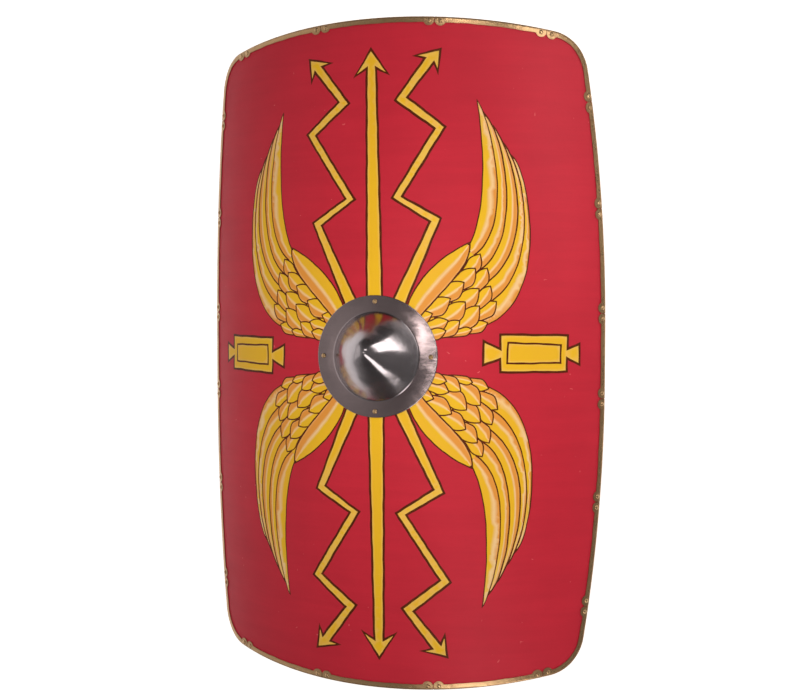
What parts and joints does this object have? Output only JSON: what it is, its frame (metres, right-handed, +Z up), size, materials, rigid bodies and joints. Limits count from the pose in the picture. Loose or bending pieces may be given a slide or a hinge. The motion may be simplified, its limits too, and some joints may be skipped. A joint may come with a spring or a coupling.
{
  "type": "roman scutum shield",
  "caption": "Curved legionary shield of painted plywood with a domed steel boss, wooden handgrip and riveted brass edging, lying face up.",
  "frame": {"origin": "on the ground under the middle of the shield, lying face up on its two long edges", "axes": "+X towards the shield's right edge as seen from the front, +Y towards its top end, +Z up, out of the painted face"},
  "size_m": [0.6938, 1.07, 0.2077],
  "materials": {
    "painted_board": "plywood painted satin red with a yellow and orange wing, bolt and arrow pattern",
    "boss_steel": "raised steel, polished dome and duller brushed flange",
    "rivet_brass": "domed heads, lightly worn",
    "grip_wood": "oiled ash bar, darker where it is held",
    "edging_brass": "folded sheet, polished with brown tarnish"
  },
  "bodies": {
    "root": {"board": "painted_board", "boss": "boss_steel", "boss_rivet_top": "rivet_brass", "boss_rivet_bottom": "rivet_brass", "boss_rivet_left": "rivet_brass", "boss_rivet_right": "rivet_brass", "grip": "grip_wood", "rim_right_1": "edging_brass", "rim_right_2": "edging_brass", "rim_right_3": "edging_brass", "rim_right_4": "edging_brass", "rim_right_5": "edging_brass", "rim_corner_top_right": "edging_brass", "rim_top_right": "edging_brass", "rim_top_middle": "edging_brass", "rim_top_left": "edging_brass", "rim_corner_top_left": "edging_brass", "rim_left_5": "edging_brass", "rim_left_4": "edging_brass", "rim_left_3": "edging_brass", "rim_left_2": "edging_brass", "rim_left_1": "edging_brass", "rim_corner_bottom_left": "edging_brass", "rim_bottom_left": "edging_brass", "rim_bottom_middle": "edging_brass", "rim_bottom_right": "edging_brass", "rim_corner_bottom_right": "edging_brass"}
  },
  "joints": []
}
